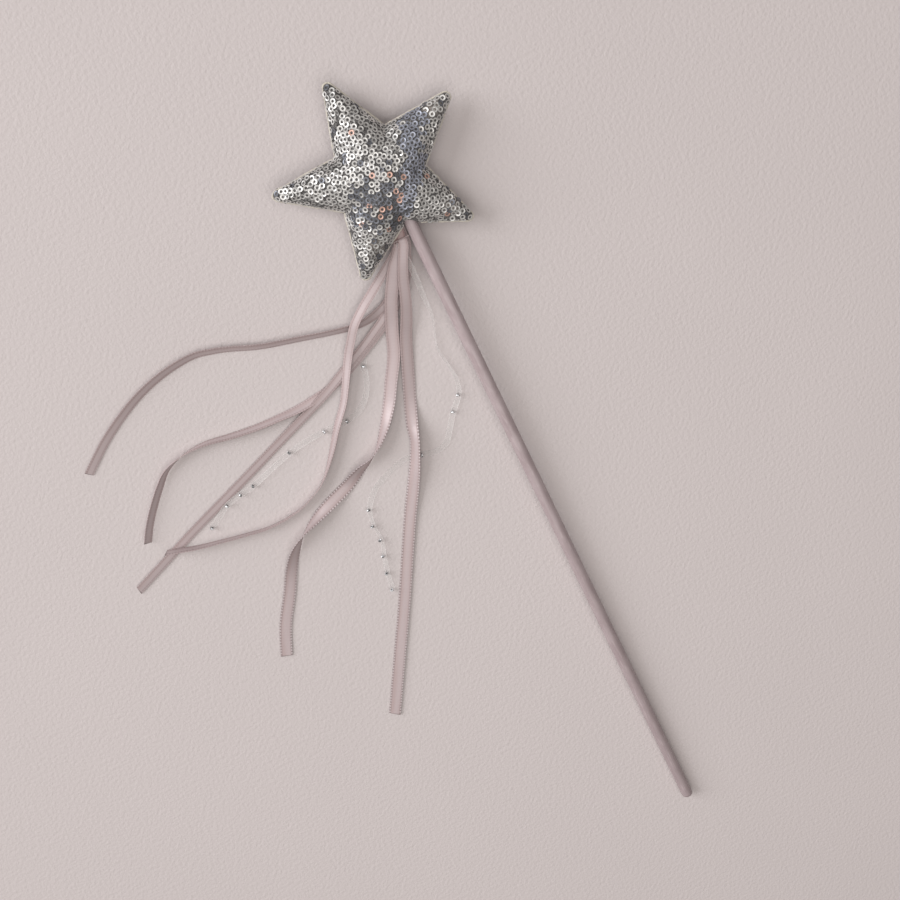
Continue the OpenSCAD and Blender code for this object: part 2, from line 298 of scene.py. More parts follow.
@dataclass(frozen=True)
class PaintFinish(Finish):
    """Thin satin paint that shows the dowel's grain."""

    light: Colour
    dark: Colour

    def draw(self, graph: Graph) -> None:
        """Mottled paint with long grain streaks."""
        clouds = graph.noise(graph.place((1.0, 0.35, 1.0)), 260.0, 3.0)
        grain = graph.noise(graph.place((1.0, 0.025, 1.0)), 1500.0, 2.0)
        fleck = graph.noise(graph.place((1.0, 0.12, 1.0)), 900.0, 1.0).step(0.60, 0.72)
        along = graph.node("ShaderNodeSeparateXYZ", None, {0: graph.place()}).outputs[1]
        # The paint is darker towards the tip, by its place along the dowel.
        toward_tip = 1.0 - Value(graph, along).step(-0.26, 0.14)
        tone = clouds.step(0.3, 0.7) * 0.65 + grain.step(0.3, 0.75) * 0.35
        base = graph.mix(tone, self.dark, self.light)
        base = graph.mix(toward_tip * 0.6, base, scaled(self.dark, 0.8))
        worn = graph.mix(fleck * 0.3, base, scaled(self.light, 1.18))
        graph.surface(
            Base_Color=worn,
            Roughness=0.36 + 0.16 * clouds,
            Normal=graph.bump(grain * 0.7 + clouds * 0.3, 0.00005),
            Coat_Weight=0.15,
            Coat_Roughness=0.25,
        )


@dataclass(frozen=True)
class SequinFinish(Finish):
    """Silvered plastic film."""

    roughness: float

    def draw(self, graph: Graph) -> None:
        """Each sequin's own tint on slightly uneven metal; the tint also holds painted shade on the
        rims and on one flank.
        """
        tint = graph.node("ShaderNodeAttribute", {"attribute_name": "tint"}).outputs["Color"]
        wear = graph.noise(graph.place(), 1400.0, 2.0)
        graph.surface(
            Base_Color=tint,
            Metallic=0.5,
            Roughness=self.roughness + 0.12 * wear,
            Normal=graph.bump(wear, 0.00003),
        )


@dataclass(frozen=True)
class NetFinish(Finish):
    """Fine net over a plain lining."""

    lining: Colour
    thread: Colour
    bare: Colour

    def draw(self, graph: Graph) -> None:
        """Threads of the net stand over the darker lining, which is paler where it lies bare; under
        the sequins net and lining are painted dark, a painted shade for the shadow between sequins.
        """
        cells = graph.node(
            "ShaderNodeTexVoronoi",
            {"feature": "DISTANCE_TO_EDGE"},
            {"Vector": graph.place(), "Scale": 1300.0, "Randomness": 0.35},
        )
        net = 1.0 - Value(graph, cells.outputs[0]).step(0.05, 0.16)
        shade = graph.noise(graph.place(), 180.0, 2.0)
        ground = graph.mix(shade, scaled(self.lining, 0.8), self.lining)
        open_net = graph.mix(net, scaled(self.bare, 0.6), self.bare)
        # Under the sequins the net and lining carry painted shade.
        covered_in_shade = graph.mix(net, ground, self.thread)
        graph.surface(
            Base_Color=graph.mix(graph.stored("bare"), covered_in_shade, open_net),
            Roughness=0.78 - 0.2 * net,
            Normal=graph.bump(net + shade * 0.3, 0.00012),
            Sheen_Weight=0.2,
        )


@dataclass(frozen=True)
class SatinFinish(Finish):
    """Satin ribbon with ribbed edges."""

    light: Colour
    deep: Colour
    shine: Colour
    width: float
    pitch: float
    tooth: float

    def draw(self, graph: Graph) -> None:
        """Smooth satin with a painted sheen band that wanders across it, and woven teeth along both
        edges.
        """
        across = graph.stored("across")
        run = graph.stored("run")
        edge = abs(across - 0.5) * 2.0
        start = 1.0 - 2.0 * MM / self.width
        teeth = edge.step(start - 0.04, start + 0.04)
        rim = 1.0 - 1.4 * MM / self.width
        loops = edge.step(rim - 0.03, rim + 0.03)
        clear = self.tooth * run.step(45 * MM, 110 * MM)
        ribs = run.wave(self.pitch).step(0.3, 0.7)
        floats = graph.noise(graph.flat(across * (self.width / (0.25 * MM)), run * 160.0), 1.0, 2.0)
        slow = graph.noise(graph.flat(run * 14.0, across * 0.6), 1.0, 1.0)
        # A painted sheen: a lighter band in the shine colour that wanders across the satin and
        # stands in for its highlight.
        sheen = 1.0 - abs(across - slow.step(0.3, 0.7) * 0.3 - 0.45).step(0.05, 0.42)
        ground = graph.mix(floats * 0.3 + slow * 0.4, self.deep, self.light)
        ground = graph.mix(sheen * 0.35, ground, self.shine)
        ground = graph.mix(ribs * 0.1, ground, self.deep)
        woven = graph.mix((teeth - loops) * 0.35, ground, scaled(self.deep, 0.5))
        woven = graph.mix(loops * (1.0 - ribs) * clear, woven, scaled(self.shine, 1.15))
        woven = graph.mix(loops * ribs * clear, woven, scaled(self.deep, 0.45))
        frayed = 1.0 - graph.stored("tail").step(0.1 * MM, 0.5 * MM)
        woven = graph.mix(frayed * 0.7, woven, scaled(self.deep, 0.3))
        graph.surface(
            Base_Color=woven,
            Metallic=0.12,
            Roughness=0.44 + 0.1 * floats + 0.15 * teeth - 0.06 * sheen,
            Normal=graph.bump(ribs * teeth + floats * 0.25, 0.00006),
            Sheen_Weight=0.1,
            Sheen_Roughness=0.4,
            Sheen_Tint=(*self.light, 1.0),
        )


@dataclass(frozen=True)
class OrganzaFinish(Finish):
    """Sheer organza with closer edges."""

    colour: Colour
    width: float

    def draw(self, graph: Graph) -> None:
        """Open weave, denser at the edges."""
        across = graph.stored("across")
        run = graph.stored("run")
        edge = (abs(across - 0.5) * 2.0).step(0.70, 0.92)
        weave = (across * self.width).wave(0.00028) * 0.5 + run.wave(0.00028) * 0.5
        fold = graph.noise(graph.place(), 240.0, 1.0).step(0.45, 0.75)
        graph.surface(
            Base_Color=graph.mix(edge, scaled(self.colour, 0.92), self.colour),
            Roughness=0.5 - 0.15 * edge,
            Alpha=0.06 + 0.08 * weave + 0.11 * edge + 0.08 * fold,
            Normal=graph.bump(weave, 0.00003),
            Sheen_Weight=0.3,
        )


@dataclass(frozen=True)
class BeadFinish(Finish):
    """Clear glass with a silver lining in the hole."""

    colour: Colour

    def draw(self, graph: Graph) -> None:
        """Bright glass with painted dark and light glints in small cells, a painted reflection of
        cut glass.
        """
        streak = graph.noise(graph.place(), 900.0, 2.0)
        cells = graph.node(
            "ShaderNodeTexVoronoi", None, {"Vector": graph.place(), "Scale": 1300.0}
        )
        # Cells of dark and light base colour: painted reflections of cut glass.
        painted_glints = Value(graph, cells.outputs["Color"]).step(0.35, 0.6)
        graph.surface(
            Base_Color=graph.mix(painted_glints, scaled(self.colour, 0.12), self.colour),
            Metallic=0.4,
            Roughness=0.07 + 0.1 * streak,
            Normal=graph.bump(streak, 0.00003),
            Coat_Weight=1.0,
            Coat_Roughness=0.04,
        )


@dataclass(frozen=True)
class MottledFinish(Finish):
    """One colour that is darker in places: thread by its fibres, glue by its clouds."""

    colour: Colour
    dark: float
    scale: float
    detail: float
    rough: tuple[float, float]
    depth: float
    stretch: tuple[float, float, float] = (1.0, 1.0, 1.0)
    sheen: float = 0.0

    def draw(self, graph: Graph) -> None:
        """Noise that sets the colour, the roughness and the relief."""
        cloud = graph.noise(graph.place(self.stretch), self.scale, self.detail)
        graph.surface(
            Base_Color=graph.mix(cloud, scaled(self.colour, self.dark), self.colour),
            Roughness=self.rough[0] + self.rough[1] * cloud,
            Normal=graph.bump(cloud, self.depth),
            Sheen_Weight=self.sheen,
        )


@dataclass(frozen=True)
class FloorFinish(Finish):
    """Pale painted board with a fine orange-peel skin."""

    colour: Colour

    def draw(self, graph: Graph) -> None:
        """Even pale paint with a fine skin."""
        skin = graph.noise(graph.place(), 520.0, 2.0)
        cloud = graph.noise(graph.place(), 9.0, 1.0)
        graph.surface(
            Base_Color=graph.mix(cloud, scaled(self.colour, 0.96), self.colour),
            Roughness=0.6 + 0.1 * skin,
            Normal=graph.bump(skin, 0.0003),
        )


PAINT = PaintFinish("stick_paint_pink", (0.47, 0.395, 0.405), (0.36, 0.285, 0.295))
SEQUIN = SequinFinish("sequin_silver", 0.32)
# Lining and thread colours are painted dark, a painted shade under the sequins; the last colour is
# the bare net's own beige.
NET = NetFinish("net_over_lining", (0.06, 0.056, 0.056), (0.19, 0.18, 0.178), (0.36, 0.32, 0.295))
# Satin tones: light and deep mixed at random, and shine, the colour of the painted sheen band and
# of the edge's light ticks.
SATIN_TONES = ((0.52, 0.425, 0.43), (0.41, 0.315, 0.312), (0.60, 0.54, 0.56))
WIDE_SATIN = SatinFinish("satin_wide_pink", *SATIN_TONES, 6.5 * MM, 1.7 * MM, 0.6)
NARROW_SATIN = SatinFinish("satin_narrow_pink", *SATIN_TONES, 4.5 * MM, 1.5 * MM, 0.12)
# Darker, redder satin for the bunch of sewn ends: a painted shade for the shadow among the ribbon
# layers under the star's edge.
SHADED_GATHERED_SATIN = SatinFinish(
    "satin_gathered_pink",
    (0.40, 0.29, 0.29), (0.26, 0.155, 0.15), (0.44, 0.37, 0.375),
    6.5 * MM, 1.6 * MM, 0.1,
)
ORGANZA = OrganzaFinish("organza_sheer", (0.86, 0.84, 0.83), 3.0 * MM)
BEAD = BeadFinish("bead_silver_glass", (0.86, 0.87, 0.90))
FIBRES = (0.75, 5000.0, 2.0, (0.6, 0.15), 0.04 * MM, (1.0, 0.3, 1.0), 0.2)
THREAD = MottledFinish("thread_pink", (0.50, 0.40, 0.40), *FIBRES)
RIM = MottledFinish("rim_thread", (0.68, 0.63, 0.55), *FIBRES)
GLUE = MottledFinish("glue_cloudy", (0.72, 0.69, 0.60), 0.82, 320.0, 3.0, (0.28, 0.2), 0.3 * MM)
FLOOR = FloorFinish("floor_greige", (0.605, 0.55, 0.548))


# Mesh tools


def finished(
    bm: bmesh.types.BMesh, name: str, finish: Finish, smooth: bool = True
) -> bpy.types.Object:
    """Makes an object at the origin from a bmesh, and frees the bmesh.

    Args:
        bm: The shape, in its place.
        name: The piece's name.
        finish: Its finish.
        smooth: Whether its faces are shaded smooth.

    Returns:
        The new object, linked to the scene.
    """
    for face in bm.faces:
        face.smooth = smooth
    mesh = bpy.data.meshes.new(name)
    bm.to_mesh(mesh)
    bm.free()
    if smooth:
        mesh.set_sharp_from_angle(angle=math.radians(45))
    piece = bpy.data.objects.new(name, mesh)
    bpy.context.scene.collection.objects.link(piece)
    mesh.materials.append(finish.material())
    return piece


def add_to(whole: bmesh.types.BMesh, one: bmesh.types.BMesh) -> None:
    """Adds one bmesh to another, and frees it."""
    mesh = bpy.data.meshes.new("one")
    one.to_mesh(mesh)
    one.free()
    whole.from_mesh(mesh)
    bpy.data.meshes.remove(mesh)


def rolled_grid(
    columns: int, spot: Callable[[int, int], tuple[Vector, float]], runs: Sequence[float]
) -> bmesh.types.BMesh:
    """Rolls a grid round a route into a closed solid, and keeps each point's place on the mesh.

    Args:
        columns: Faces round the section.
        spot: Gives a point and its share across from its column and row.
        runs: Distance along at each row.

    Returns:
        The closed solid.
    """
    bm = bmesh.new()
    across = bm.verts.layers.float.new("across")
    run = bm.verts.layers.float.new("run")
    tail = bm.verts.layers.float.new("tail")
    rows = len(runs) - 1
    bmesh.ops.create_grid(bm, x_segments=columns, y_segments=rows, size=0.5)
    for vert in bm.verts:
        column = round((vert.co.x + 0.5) * columns)
        row = round((vert.co.y + 0.5) * rows)
        vert.co, vert[across] = spot(column % columns, row)
        vert[run] = runs[row]
        vert[tail] = runs[-1] - runs[row]
    bmesh.ops.remove_doubles(bm, verts=bm.verts[:], dist=0.001 * MM)
    bmesh.ops.holes_fill(bm, edges=bm.edges[:], sides=0)
    bmesh.ops.recalc_face_normals(bm, faces=bm.faces[:])
    return bm


@dataclass(frozen=True)
class Ring:
    """One cross-section of a route: its middle, directions and distance along."""

    middle: Vector
    along: Vector
    side: Vector
    normal: Vector
    run: float
    scale: float = 1.0


def smooth_point(a: Vector, b: Vector, c: Vector, d: Vector, share: float) -> Vector:
    """A smooth curve through four points, at a share of the way from the second to the third."""
    return b + share / 2 * (
        c - a + share * (2 * a - 5 * b + 4 * c - d + share * (3 * b - a - 3 * c + d))
    )


def rings_along(
    points: Sequence[Vector], steps: int, scales: Sequence[float] | None = None
) -> list[Ring]:
    """Smooths a route and sets a frame at each of its steps.

    Args:
        points: Route points as x, y, height and roll in degrees.
        steps: Steps on each stretch between two points.
        scales: Share of the full width at each point.

    Returns:
        The rings from the first point to the last.
    """
    last = len(points) - 1
    widths = list(scales or [1.0] * len(points))
    fine: list[Vector] = []
    scale: list[float] = []
    for i in range(last):
        near = [points[max(0, i - 1)], points[i], points[i + 1], points[min(last, i + 2)]]
        for step in range(steps):
            fine.append(smooth_point(*near, step / steps))
            scale.append(widths[i] + (widths[i + 1] - widths[i]) * step / steps)
    fine.append(points[last])
    scale.append(widths[last])
    rings: list[Ring] = []
    run = 0.0
    for i, point in enumerate(fine):
        ahead = fine[min(len(fine) - 1, i + 1)].to_3d()
        behind = fine[max(0, i - 1)].to_3d()
        along = (ahead - behind).normalized()
        level = Vector((-along.y, along.x, 0.0)).normalized()
        up = along.cross(level)
        roll = math.radians(point[3])
        if i:
            run += (point.to_3d() - fine[i - 1].to_3d()).length
        rings.append(
            Ring(
                point.to_3d(),
                along,
                level * math.cos(roll) + up * math.sin(roll),
                up * math.cos(roll) - level * math.sin(roll),
                run,
                scale[i],
            )
        )
    return rings


def tube(rings: Sequence[Ring], radius: float, sides: int) -> bmesh.types.BMesh:
    """A closed round tube on a row of rings."""

    def spot(column: int, row: int) -> tuple[Vector, float]:
        """Point on the tube's wall."""
        ring = rings[row]
        turn = 2 * math.pi * column / sides
        out = ring.side * math.cos(turn) + ring.normal * math.sin(turn)
        return ring.middle + out * radius * ring.scale, column / sides

    return rolled_grid(sides, spot, [ring.run for ring in rings])


# Studio


@dataclass
class Studio:
    """Floor, lamps and the photograph's camera."""

    lens: float = 48.0
    spot: tuple[float, float, float] = (-0.00113, 0.24575, 0.59255)
    right: tuple[float, float, float] = (0.8942, -0.4333, 0.1123)
    back: tuple[float, float, float] = (0.0444, 0.3356, 0.9410)
    floor_size: float = 6.0
    world: Colour = (0.235, 0.222, 0.21)
    aim: tuple[float, float, float] = (0.0, 0.08, 0.0)

    def build(self) -> None:
        """Makes the camera, the floor, the lamps and the surroundings."""
        self._camera()
        self._floor()
        self._lamp("window", (-3.33, 2.79, 2.25), (3.24, 3.24), 201.0, (0.985, 0.985, 0.99))
        self._lamp("overhead", (-0.12, 0.06, 1.35), (1.5, 1.5), 11.0, (1.0, 0.965, 0.935))
        self._world()
        bpy.context.scene.view_settings.view_transform = "Standard"

    def _camera(self) -> None:
        """Sets the camera at the photograph's viewing angle."""
        data = bpy.data.cameras.new("camera")
        data.lens = self.lens
        data.sensor_width = 36.0
        data.clip_start = 0.01
        camera = bpy.data.objects.new("camera", data)
        bpy.context.scene.collection.objects.link(camera)
        back = Vector(self.back).normalized()
        up = back.cross(Vector(self.right)).normalized()
        right = up.cross(back)
        turn = Matrix((right, up, back)).transposed().to_4x4()
        camera.matrix_world = Matrix.Translation(Vector(self.spot)) @ turn
        bpy.context.scene.camera = camera

    def _floor(self) -> None:
        """Lays a wide pale floor."""
        bm = bmesh.new()
        bmesh.ops.create_grid(bm, x_segments=1, y_segments=1, size=self.floor_size / 2)
        finished(bm, "floor", FLOOR)

    def _lamp(
        self,
        name: str,
        spot: tuple[float, float, float],
        size: tuple[float, float],
        power: float,
        colour: Colour,
    ) -> None:
        """Hangs one soft lamp that faces the wand's middle."""
        data = bpy.data.lights.new(name, "AREA")
        data.shape = "RECTANGLE"
        data.size, data.size_y = size
        data.energy = power
        data.color = colour
        lamp = bpy.data.objects.new(name, data)
        bpy.context.scene.collection.objects.link(lamp)
        lamp.location = spot
        way = Vector(self.aim) - Vector(spot)
        lamp.rotation_euler = way.to_track_quat("-Z", "Y").to_euler()
        lamp.visible_camera = False

    def _world(self) -> None:
        """Fills the surroundings with an even grey."""
        world = bpy.data.worlds.new("surroundings")
        bpy.context.scene.world = world
        graph = Graph(world)
        fill = graph.node("ShaderNodeBackground", None, {"Color": self.world, "Strength": 1.0})
        graph.node("ShaderNodeOutputWorld", None, {"Surface": fill.outputs[0]})


# Ribbons and strands


NECK = Vector((0.00167759, 0.152919, 0.0))
SEAM_HEIGHT = 0.01055
DOWEL_SHIFT = 3.42 * MM

LONG_ROUTE = (
    (-4.3, -6.5, 9.3, 0), (-4.6, -9.5, 9.3, 0), (-6.9, -14, 9, -2), (-9.5, -19, 8.3, -6),
    (-12.5, -26, 6.9, -9), (-16, -36, 5.2, -11), (-20, -45, 3.1, -12), (-25, -55, 1.2, -12),
    (-33, -74, 0.4, -10), (-38, -86, 0.4, -2), (-42, -96, 0.7, 22), (-45, -105, 1.2, 44),
    (-51, -117, 1.2, 36), (-58, -129, 0.7, 18), (-66, -142, 0.4, 8), (-77, -161, 0.4, 4),
    (-92, -187, 0.4, 3), (-109.4, -215.8, 0.4, 4), (-126.7, -244.7, 0.4, 3),
)
TWIST_ROUTE = (
    (-5.8, -6.5, 7.9, 0), (-6.9, -9.5, 7.8, 0), (-10.5, -14, 7.6, 0), (-14.2, -18.5, 7.2, 0),
    (-18, -25, 5.8, -2), (-21.6, -31, 4.4, -4), (-24.6, -37, 3.5, -4), (-29, -47, 1.8, 4),
    (-34, -59, 0.6, 10), (-41, -70, 0.4, 16), (-48, -81, 0.4, 28), (-57, -92, 0.4, 58),
    (-67, -101, 0.4, 102), (-78, -106, 0.4, 145), (-88, -111, 0.4, 178), (-100, -115, 0.4, 205),
    (-111, -119, 0.4, 240), (-121, -124, 0.4, 284), (-129, -131, 0.4, 322),
    (-136, -140, 0.4, 346), (-143, -151, 0.4, 356), (-154, -167, 0.4, 358),
    (-162, -183, 0.4, 360),
)
CROSS_ROUTE = (
    (-7.2, -6.5, 7.2, 0), (-7.6, -9, 7.1, 0), (-12, -13, 6.3, 0), (-20.5, -18.8, 5.6, 0),
    (-29.8, -24.6, 5.8, 16), (-36.9, -29.1, 5.8, 22), (-43.9, -34.6, 5.5, 20),
    (-48.9, -40.6, 4.5, 18), (-54.8, -48.6, 3, 24), (-60.6, -57.7, 2.2, 34), (-68, -69, 1.4, 44),
    (-77, -79, 1.3, 50), (-85, -89, 0.7, 60), (-94, -99, 0.4, 84), (-102, -105, 0.4, 98),
    (-115, -110, 0.4, 98), (-132, -111.5, 0.4, 94), (-147, -109, 0.5, 90),
    (-160, -106, 0.9, 86), (-172, -103, 1.4, 82), (-187, -98, 1.4, 78),
)
ARCH_ROUTE = (
    (-2.6, -6.5, 6.5, 0), (-3.05, -10.5, 6.1, 0), (-7, -17.5, 5, 0), (-13.3, -24.5, 3.9, 0),
    (-20.5, -30, 2.6, 0), (-27, -34, 2, -8), (-36, -36.5, 1.1, -24), (-45, -36.5, 0.4, -38),
    (-58, -33.5, 0.3, -44), (-72, -29.5, 0.3, -44), (-91, -24, 0.3, -43), (-105.4, -18, 0.3, -42),
    (-113.5, -15.2, 0.3, -40), (-123.6, -13, 0.3, -37), (-138.6, -14, 0.3, -33),
    (-153.6, -17.6, 0.3, -29), (-167.6, -23.2, 0.3, -24), (-183.7, -31.8, 0.3, -18),
    (-199.8, -43, 0.3, -15),
)
STRAIGHT_ROUTE = (
    (-3.4, -6.5, 5.8, 0), (-3.8, -11.5, 5.2, 0), (-7.2, -19, 4, 0), (-13.6, -27, 2.8, 0),
    (-22, -34, 1.9, 0), (-30, -39.5, 1.7, 0), (-44, -47, 1.6, 0), (-59, -54, 1.5, 0),
    (-72, -60, 1.4, -4), (-85, -65, 0.9, -8), (-107, -73, 0.4, -8), (-129, -81, 0.4, -8),
    (-149, -88, 0.4, -8), (-169, -95, 0.4, -9), (-190, -103, 0.4, -11), (-211, -111, 0.4, -12),
)
CURL_ROUTE = (
    (-4, -6.5, 5.1, 0), (-4.3, -12.5, 4.3, 0), (-6.8, -20, 3.1, 0), (-12, -28, 1.8, 0),
    (-20, -35.5, 1, 0), (-30, -42, 0.9, 0), (-44, -49, 0.8, 0), (-57, -55, 0.7, 0),
    (-70, -59.5, 0.5, 0), (-81, -61, 0.4, 14), (-90, -61.5, 0.4, 36), (-100, -61, 0.4, 52),
    (-114, -60, 0.4, 60), (-127, -58, 0.4, 66), (-140, -55.5, 0.4, 76),
    (-152, -55.5, 0.4, 96), (-163.8, -59, 0.4, 120), (-172, -65.5, 0.4, 138),
    (-181, -74.4, 0.4, 142), (-188, -82.4, 0.4, 144), (-193, -89.5, 0.4, 144),
)
LEFT_ROUTE = (
    (-4.6, -6.5, 4.4, 0), (-4.9, -13, 3.4, 0), (-7.6, -21, 2, 0), (-14, -29, 0.7, 0),
    (-22, -36, 0.2, 0), (-32, -42, 0.1, 0), (-41, -47.5, 0.1, 0), (-47, -52, 0.1, 0),
    (-50, -57, 0.2, 10), (-52, -64, 0.2, 30), (-56, -71, 0.2, 20), (-63, -77, 0.2, 8),
    (-71, -79, 0.2, 0), (-77, -79, 0.2, 0), (-84, -78.5, 0.2, 0), (-95, -79, 0.2, 24),
    (-105, -80.5, 0.2, 20), (-118, -84, 0.2, 40), (-130, -87.5, 0.6, 10), (-138, -88.5, 1.1, 0),
    (-147, -90.5, 1.3, 0), (-154, -94.5, 0.8, 0), (-160, -98, 0.2, 0),
)
RIGHT_ROUTE = (
    (-6.6, -6.5, 8.6, 0), (-6.3, -10, 8.5, 0), (-6, -14, 8.5, 0), (-6, -20, 7.7, 4),
    (-6.4, -29, 4, 16), (-7, -39, 1.6, 40), (-7.6, -49, 0.3, 66), (-10, -57, 0.2, 76),
    (-12.5, -66, 0.2, 70), (-11.5, -76, 0.2, 60), (-11, -85, 0.2, 45), (-13.5, -93, 0.2, 30),
    (-20, -100, 0.2, 20), (-26, -108, 0.2, 24), (-31, -114, 0.2, 8), (-38, -115.5, 0.2, 0),
    (-45, -113.5, 0.2, 0), (-55, -112, 0.2, 0), (-66, -115, 0.2, 0), (-76, -120, 0.2, 6),
    (-83, -128, 0.2, 30), (-85, -137, 0.2, 50), (-85, -146, 0.2, 50), (-88, -155, 0.2, 40),
    (-91, -165, 0.2, 30), (-93, -175, 0.2, 20),
)
LEFT_BEADS = (8, 12, 14, 16, 18, 19, 20, 22)
RIGHT_BEADS = (11, 12, 16, 20, 21, 22, 23, 24, 25)


def lifted(route: Sequence[Sequence[float]], width: float, thickness: float) -> list[Vector]:
    """Route points in metres.

    Args:
        route: Rows of x and y from the neck, lift of the lowest edge in millimetres, and roll.
        width: The strip's width.
        thickness: Its thickness.

    Returns:
        Points as x, y, height of the strip's middle and roll in degrees.
    """
    points: list[Vector] = []
    for x, y, lift, roll in route:
        turn = math.radians(roll)
        rise = width / 2 * abs(math.sin(turn)) + thickness / 2 * abs(math.cos(turn))
        points.append(Vector((NECK.x + x * MM, NECK.y + y * MM, lift * MM + rise, roll)))
    return points


@dataclass
class Strip:
    """A flat strip on a route: one ribbon or one strand."""

    name: str
    node: str
    body: Body
    route: Sequence[Sequence[float]]
    width: float
    finish: Finish
    slot: Slot
    cad_thickness: float = 0.4 * MM
    thickness: float = 0.3 * MM
    crown: float = 0.0
    slant: float = 0.0
    sewn: bool = False
    gather: float = 0.75
    gather_length: float = 20.0 * MM
    steps: int = 18
    columns: int = 8
    path_stride: int = 3
    rings: list[Ring] = field(default_factory=list)

    def points(self) -> list[Vector]:
        """The route, led up into the notch where the strip is sewn to the wand."""
        points = lifted(self.route, self.width, self.cad_thickness)
        return root_lead(points[0]) + points if self.sewn else points

    def scales(self, points: Sequence[Vector]) -> list[float]:
        """Share of the full width at each point: the strip is gathered at the thread bar."""
        lead = len(ROOT_SCALES) if self.sewn else 0
        bar = points[lead].to_3d()
        out = [self.gather * share for share in ROOT_SCALES[:lead]]
        for point in points[lead:]:
            share = min(1.0, (point.to_3d() - bar).length / self.gather_length)
            out.append(self.gather + (1 - self.gather) * share * share * (3 - 2 * share))
        return out

    def build(self) -> bpy.types.Object:
        """Makes the strip and sets it on its body.

        Returns:
            The strip's object.
        """
        points = self.points()
        self.rings = rings_along(points, self.steps, self.scales(points))
        piece = finished(self.sheet(), self.name, self.finish)
        if self.sewn:
            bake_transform(piece)
        else:
            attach(piece, self.body.value)
        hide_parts(self.node)
        return piece

    def sheet(self) -> bmesh.types.BMesh:
        """The strip's mesh: a thin sheet with a slight crown and a slanted cut end."""
        last = len(self.rings) - 1
        loop = 2 * self.columns + 2

        def spot(column: int, row: int) -> tuple[Vector, float]:
            """Point on the strip's upper face, or on its lower face on the way back."""
            ring = self.rings[row]
            upper = column <= self.columns
            share = (column if upper else loop - 1 - column) / self.columns
            across = share * 2 - 1
            lift = self.crown * (0.5 - across * across) * ring.scale
            lift += self.thickness / 2 if upper else -self.thickness / 2
            cut = self.slant * across if row == last else 0.0
            out = ring.side * (across * self.width / 2 * ring.scale)
            return ring.middle + out + ring.normal * lift + ring.along * cut, share

        return rolled_grid(loop, spot, [ring.run for ring in self.rings])

    def declare(self, piece: bpy.types.Object, extras: Sequence[bpy.types.Object] = ()) -> None:
        length = self.rings[-1].run / MM
        LOG.info("%s: %.0f mm long, %.1f mm wide", piece.name, length, self.width / MM)


ROOT_SCALES = [0.55, 0.85]
ROOT_HEIGHT = 9.6 * MM


def root_lead(bar: Vector) -> list[Vector]:
    """Two points that lead a strip from the notch down to its place on the thread bar."""
    return [
        Vector((
            NECK.x + (bar.x - NECK.x) * x_share,
            NECK.y + y * MM,
            bar.z + (ROOT_HEIGHT - bar.z) * rise_share,
            0.0,
        ))
        for x_share, y, rise_share in ((0.52, -1.6, 0.55), (0.78, -4.2, 0.2))
    ]


@dataclass
class BeadRow:
    """Glass beads sewn on the upper face of a strand."""

    name: str
    node: str
    strip: Strip
    stops: Sequence[int]
    diameter: float = 2.2 * MM
    bore: float = 0.7 * MM
    gap: float = 0.1 * MM

    def build(self) -> bpy.types.Object:
        """Makes all beads of the strand as one piece.

        Returns:
            The bead row's object.
        """
        whole = bmesh.new()
        lead = len(ROOT_SCALES) if self.strip.sewn else 0
        for stop in self.stops:
            ring = self.strip.rings[(stop + lead) * self.strip.steps]
            lift = self.strip.cad_thickness / 2 + self.gap + self.diameter / 2
            turn = Matrix((ring.side, ring.normal, ring.along)).transposed().to_4x4()
            bead = self._bead()
            bmesh.ops.transform(
                bead,
                matrix=Matrix.Translation(ring.middle + ring.normal * lift) @ turn,
                verts=bead.verts[:],
            )
            add_to(whole, bead)
        bmesh.ops.recalc_face_normals(whole, faces=whole.faces[:])
        piece = finished(whole, self.name, BEAD)
        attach(piece, self.strip.body.value)
        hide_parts(self.node)
        LOG.info("%s: %d beads", self.name, len(self.stops))
        return piece

    def _bead(self) -> bmesh.types.BMesh:
        """One rounded bead with its hole along Z, spun from a half ring."""
        bm = bmesh.new()
        middle = (self.diameter + self.bore) / 4
        half = (self.diameter - self.bore) / 4
        made = bmesh.ops.create_circle(bm, segments=12, radius=half)
        stand = Matrix.Translation((middle, 0.0, 0.0)) @ Matrix.Rotation(math.pi / 2, 4, "X")
        tall = Matrix.Diagonal((1.0, 1.0, 1.5, 1.0))
        bmesh.ops.transform(bm, matrix=tall @ stand, verts=made["verts"])
        bmesh.ops.spin(
            bm, geom=bm.verts[:] + bm.edges[:], axis=(0, 0, 1), cent=(0, 0, 0),
            angle=2 * math.pi, steps=18, use_merge=True,
        )
        bmesh.ops.remove_doubles(bm, verts=bm.verts[:], dist=0.005 * MM)
        return bm


# Star


WARM_TINT = (1.05, 0.68, 0.57)
DARK_TINT = (0.28, 0.29, 0.33)
# SHADED_TINT is a painted shade for sequins on the flank that turns away from the light
SHADED_TINT = (0.6, 0.63, 0.74)
SILVER_TINT = (1.0, 0.985, 0.965)


def polar(radius: float, degrees: float) -> Vector:
    """A flat vector from its length and direction."""
    turn = math.radians(degrees)
    return Vector((radius * math.cos(turn), radius * math.sin(turn)))


